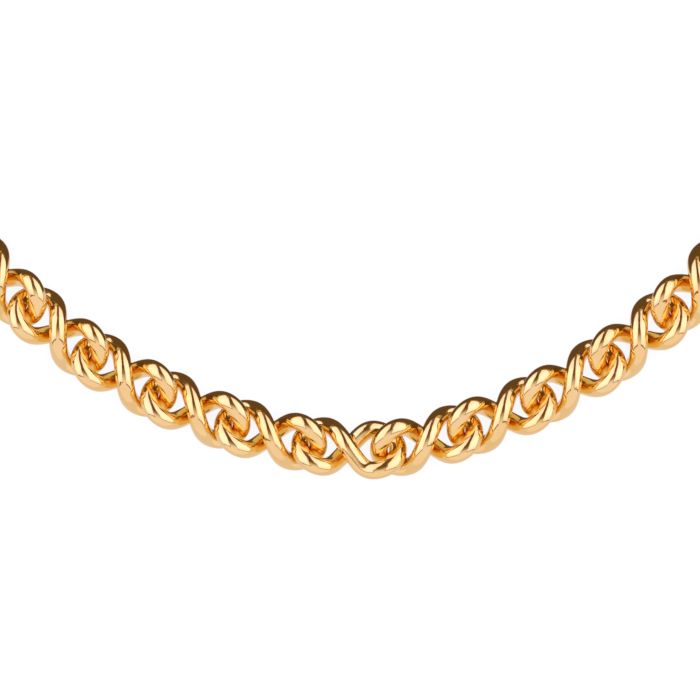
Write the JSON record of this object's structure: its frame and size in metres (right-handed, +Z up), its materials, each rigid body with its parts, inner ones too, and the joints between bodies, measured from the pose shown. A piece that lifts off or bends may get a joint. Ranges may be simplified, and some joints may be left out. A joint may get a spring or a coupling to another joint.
{
  "type": "chain necklace",
  "caption": "Polished gold-coloured chain necklace of interlocked twisted figure-eight wire links, with a catch ring at one end and a sprung lobster-claw clasp at the other.",
  "frame": {"origin": "on the surface the necklace lies on, under the middle of its bounding box", "axes": "+Z up from the surface, +Y from the front of the necklace (the centre link) to its open end at the nape, +X to the right as seen from above with the front nearest, towards the clasp half"},
  "size_m": [0.1586, 0.1706, 0.0068],
  "materials": {
    "polished_gold": "gold-plated, mirror polished",
    "fitting_gold": "gold-plated, polished",
    "pin_gold": "gold-plated, riveted and filed flush",
    "spring_steel": "bright drawn spring strip"
  },
  "bodies": {
    "link_centre": {"link_centre": "polished_gold"},
    "link_left_01": {"link_left_01": "polished_gold"},
    "link_left_02": {"link_left_02": "polished_gold"},
    "link_left_03": {"link_left_03": "polished_gold"},
    "link_left_04": {"link_left_04": "polished_gold"},
    "link_left_05": {"link_left_05": "polished_gold"},
    "link_left_06": {"link_left_06": "polished_gold"},
    "link_left_07": {"link_left_07": "polished_gold"},
    "link_left_08": {"link_left_08": "polished_gold"},
    "link_left_09": {"link_left_09": "polished_gold"},
    "link_left_10": {"link_left_10": "polished_gold"},
    "link_left_11": {"link_left_11": "polished_gold"},
    "link_left_12": {"link_left_12": "polished_gold"},
    "link_left_13": {"link_left_13": "polished_gold"},
    "link_left_14": {"link_left_14": "polished_gold"},
    "link_left_15": {"link_left_15": "polished_gold"},
    "link_left_16": {"link_left_16": "polished_gold"},
    "link_left_17": {"link_left_17": "polished_gold"},
    "link_right_01": {"link_right_01": "polished_gold"},
    "link_right_02": {"link_right_02": "polished_gold"},
    "link_right_03": {"link_right_03": "polished_gold"},
    "link_right_04": {"link_right_04": "polished_gold"},
    "link_right_05": {"link_right_05": "polished_gold"},
    "link_right_06": {"link_right_06": "polished_gold"},
    "link_right_07": {"link_right_07": "polished_gold"},
    "link_right_08": {"link_right_08": "polished_gold"},
    "link_right_09": {"link_right_09": "polished_gold"},
    "link_right_10": {"link_right_10": "polished_gold"},
    "link_right_11": {"link_right_11": "polished_gold"},
    "link_right_12": {"link_right_12": "polished_gold"},
    "link_right_13": {"link_right_13": "polished_gold"},
    "link_right_14": {"link_right_14": "polished_gold"},
    "link_right_15": {"link_right_15": "polished_gold"},
    "link_right_16": {"link_right_16": "polished_gold"},
    "link_right_17": {"link_right_17": "polished_gold"},
    "jump_ring_left": {"jump_ring_left": "fitting_gold"},
    "catch_ring": {"catch_ring": "fitting_gold"},
    "jump_ring_right": {"jump_ring_right": "fitting_gold"},
    "clasp": {"clasp_body": "fitting_gold", "clasp_pin": "pin_gold", "clasp_spring": "spring_steel"},
    "clasp_lever": {"clasp_lever": "fitting_gold"}
  },
  "joints": [
    {"name": "jump_ring_left_swing", "type": "hinge", "parent": "link_left_17", "child": "jump_ring_left", "pos_m": [-0.04362, 0.07086, 0.00353], "axis": [-0.4974, 0.5205, 0.6941], "range_deg": [-25, 25]},
    {"name": "catch_ring_swing", "type": "hinge", "parent": "jump_ring_left", "child": "catch_ring", "pos_m": [-0.04059, 0.07376, 0.00329], "axis": [0.3243, -0.3394, 0.8829], "range_deg": [-40, 40]},
    {"name": "jump_ring_right_swing", "type": "hinge", "parent": "link_right_17", "child": "jump_ring_right", "pos_m": [0.04362, 0.07007, 0.00353], "axis": [0.4974, 0.5205, 0.6941], "range_deg": [-25, 25]},
    {"name": "clasp_swivel", "type": "hinge", "parent": "jump_ring_right", "child": "clasp", "pos_m": [0.04059, 0.07296, 0.00329], "axis": [-0.3243, -0.3394, 0.8829], "range_deg": [-40, 40]},
    {"name": "clasp_lever_open", "type": "hinge", "parent": "clasp", "child": "clasp_lever", "pos_m": [0.03791, 0.07816, 0.00283], "axis": [-0.063, 0.0602, 0.9962], "range_deg": [0, 25], "stiffness_Nm_per_rad": 0.004, "springref_deg": -11.46},
    {"name": "swing_left_01", "type": "hinge", "parent": "link_centre", "child": "link_left_01", "pos_m": [-0.00702, -0.08041, 0.00353], "axis": [-0.0502, -0.7182, 0.6941], "range_deg": [-20, 20]},
    {"name": "swing_right_01", "type": "hinge", "parent": "link_centre", "child": "link_right_01", "pos_m": [0.00702, -0.08139, 0.00353], "axis": [-0.0506, -0.7239, 0.6881], "range_deg": [-20, 20]},
    {"name": "swing_left_02", "type": "hinge", "parent": "link_left_01", "child": "link_left_02", "pos_m": [-0.01547, -0.07811, 0.00353], "axis": [0.2732, 0.6661, 0.6941], "range_deg": [-20, 20]},
    {"name": "swing_right_02", "type": "hinge", "parent": "link_right_01", "child": "link_right_02", "pos_m": [0.01547, -0.07891, 0.00353], "axis": [-0.2732, 0.6661, 0.6941], "range_deg": [-20, 20]},
    {"name": "swing_left_03", "type": "hinge", "parent": "link_left_02", "child": "link_left_03", "pos_m": [-0.0285, -0.07277, 0.00353], "axis": [0.2732, 0.6661, -0.6941], "range_deg": [-20, 20]},
    {"name": "swing_right_03", "type": "hinge", "parent": "link_right_02", "child": "link_right_03", "pos_m": [0.0285, -0.07357, 0.00353], "axis": [-0.2732, 0.6661, -0.6941], "range_deg": [-20, 20]},
    {"name": "swing_left_04", "type": "hinge", "parent": "link_left_03", "child": "link_left_04", "pos_m": [-0.03608, -0.06841, 0.00353], "axis": [-0.4383, -0.5711, -0.6941], "range_deg": [-20, 20]},
    {"name": "swing_right_04", "type": "hinge", "parent": "link_right_03", "child": "link_right_04", "pos_m": [0.03608, -0.06921, 0.00353], "axis": [0.4383, -0.5711, -0.6941], "range_deg": [-20, 20]},
    {"name": "swing_left_05", "type": "hinge", "parent": "link_left_04", "child": "link_left_05", "pos_m": [-0.04725, -0.05984, 0.00353], "axis": [-0.4383, -0.5711, 0.6941], "range_deg": [-20, 20]},
    {"name": "swing_right_05", "type": "hinge", "parent": "link_right_04", "child": "link_right_05", "pos_m": [0.04725, -0.06064, 0.00353], "axis": [0.4383, -0.5711, 0.6941], "range_deg": [-20, 20]},
    {"name": "swing_left_06", "type": "hinge", "parent": "link_left_05", "child": "link_left_06", "pos_m": [-0.05342, -0.05365, 0.00353], "axis": [0.5727, 0.4363, 0.6941], "range_deg": [-20, 20]},
    {"name": "swing_right_06", "type": "hinge", "parent": "link_right_05", "child": "link_right_06", "pos_m": [0.05342, -0.05444, 0.00353], "axis": [-0.5727, 0.4363, 0.6941], "range_deg": [-20, 20]},
    {"name": "swing_left_07", "type": "hinge", "parent": "link_left_06", "child": "link_left_07", "pos_m": [-0.06195, -0.04245, 0.00353], "axis": [0.5727, 0.4363, -0.6941], "range_deg": [-20, 20]},
    {"name": "swing_right_07", "type": "hinge", "parent": "link_right_06", "child": "link_right_07", "pos_m": [0.06195, -0.04324, 0.00353], "axis": [-0.5727, 0.4363, -0.6941], "range_deg": [-20, 20]},
    {"name": "swing_left_08", "type": "hinge", "parent": "link_left_07", "child": "link_left_08", "pos_m": [-0.06629, -0.03485, 0.00353], "axis": [-0.667, -0.2708, -0.6941], "range_deg": [-20, 20]},
    {"name": "swing_right_08", "type": "hinge", "parent": "link_right_07", "child": "link_right_08", "pos_m": [0.06629, -0.03565, 0.00353], "axis": [0.667, -0.2708, -0.6941], "range_deg": [-20, 20]},
    {"name": "swing_left_09", "type": "hinge", "parent": "link_left_08", "child": "link_left_09", "pos_m": [-0.07158, -0.02181, 0.00353], "axis": [-0.667, -0.2708, 0.6941], "range_deg": [-20, 20]},
    {"name": "swing_right_09", "type": "hinge", "parent": "link_right_08", "child": "link_right_09", "pos_m": [0.07158, -0.0226, 0.00353], "axis": [0.667, -0.2708, 0.6941], "range_deg": [-20, 20]},
    {"name": "swing_left_10", "type": "hinge", "parent": "link_left_09", "child": "link_left_10", "pos_m": [-0.07377, -0.01334, 0.00353], "axis": [0.7147, 0.0865, 0.6941], "range_deg": [-20, 20]},
    {"name": "swing_right_10", "type": "hinge", "parent": "link_right_09", "child": "link_right_10", "pos_m": [0.07377, -0.01414, 0.00353], "axis": [-0.7147, 0.0865, 0.6941], "range_deg": [-20, 20]},
    {"name": "swing_left_11", "type": "hinge", "parent": "link_left_10", "child": "link_left_11", "pos_m": [-0.07546, 0.00064, 0.00353], "axis": [0.7147, 0.0865, -0.6941], "range_deg": [-20, 20]},
    {"name": "swing_right_11", "type": "hinge", "parent": "link_right_10", "child": "link_right_11", "pos_m": [0.07546, -0.00016, 0.00353], "axis": [-0.7147, 0.0865, -0.6941], "range_deg": [-20, 20]},
    {"name": "swing_left_12", "type": "hinge", "parent": "link_left_11", "child": "link_left_12", "pos_m": [-0.07536, 0.00938, 0.00353], "axis": [-0.7124, 0.1039, -0.6941], "range_deg": [-20, 20]},
    {"name": "swing_right_12", "type": "hinge", "parent": "link_right_11", "child": "link_right_12", "pos_m": [0.07536, 0.00858, 0.00353], "axis": [0.7124, 0.1039, -0.6941], "range_deg": [-20, 20]},
    {"name": "swing_left_13", "type": "hinge", "parent": "link_left_12", "child": "link_left_13", "pos_m": [-0.07333, 0.02331, 0.00353], "axis": [-0.7124, 0.1039, 0.6941], "range_deg": [-20, 20]},
    {"name": "swing_right_13", "type": "hinge", "parent": "link_right_12", "child": "link_right_13", "pos_m": [0.07333, 0.02252, 0.00353], "axis": [0.7124, 0.1039, 0.6941], "range_deg": [-20, 20]},
    {"name": "swing_left_14", "type": "hinge", "parent": "link_left_13", "child": "link_left_14", "pos_m": [-0.07093, 0.03172, 0.00353], "axis": [0.6602, -0.2871, 0.6941], "range_deg": [-20, 20]},
    {"name": "swing_right_14", "type": "hinge", "parent": "link_right_13", "child": "link_right_14", "pos_m": [0.07093, 0.03093, 0.00353], "axis": [-0.6602, -0.2871, 0.6941], "range_deg": [-20, 20]},
    {"name": "swing_left_15", "type": "hinge", "parent": "link_left_14", "child": "link_left_15", "pos_m": [-0.06531, 0.04463, 0.00353], "axis": [0.6602, -0.2871, -0.6941], "range_deg": [-20, 20]},
    {"name": "swing_right_15", "type": "hinge", "parent": "link_right_14", "child": "link_right_15", "pos_m": [0.06531, 0.04384, 0.00353], "axis": [-0.6602, -0.2871, -0.6941], "range_deg": [-20, 20]},
    {"name": "swing_left_16", "type": "hinge", "parent": "link_left_15", "child": "link_left_16", "pos_m": [-0.0608, 0.05212, 0.00353], "axis": [-0.5618, 0.4501, -0.6941], "range_deg": [-20, 20]},
    {"name": "swing_right_16", "type": "hinge", "parent": "link_right_15", "child": "link_right_16", "pos_m": [0.0608, 0.05132, 0.00353], "axis": [0.5618, 0.4501, -0.6941], "range_deg": [-20, 20]},
    {"name": "swing_left_17", "type": "hinge", "parent": "link_left_16", "child": "link_left_17", "pos_m": [-0.052, 0.06311, 0.00353], "axis": [-0.5618, 0.4501, 0.6941], "range_deg": [-20, 20]},
    {"name": "swing_right_17", "type": "hinge", "parent": "link_right_16", "child": "link_right_17", "pos_m": [0.052, 0.06231, 0.00353], "axis": [0.5618, 0.4501, 0.6941], "range_deg": [-20, 20]}
  ]
}
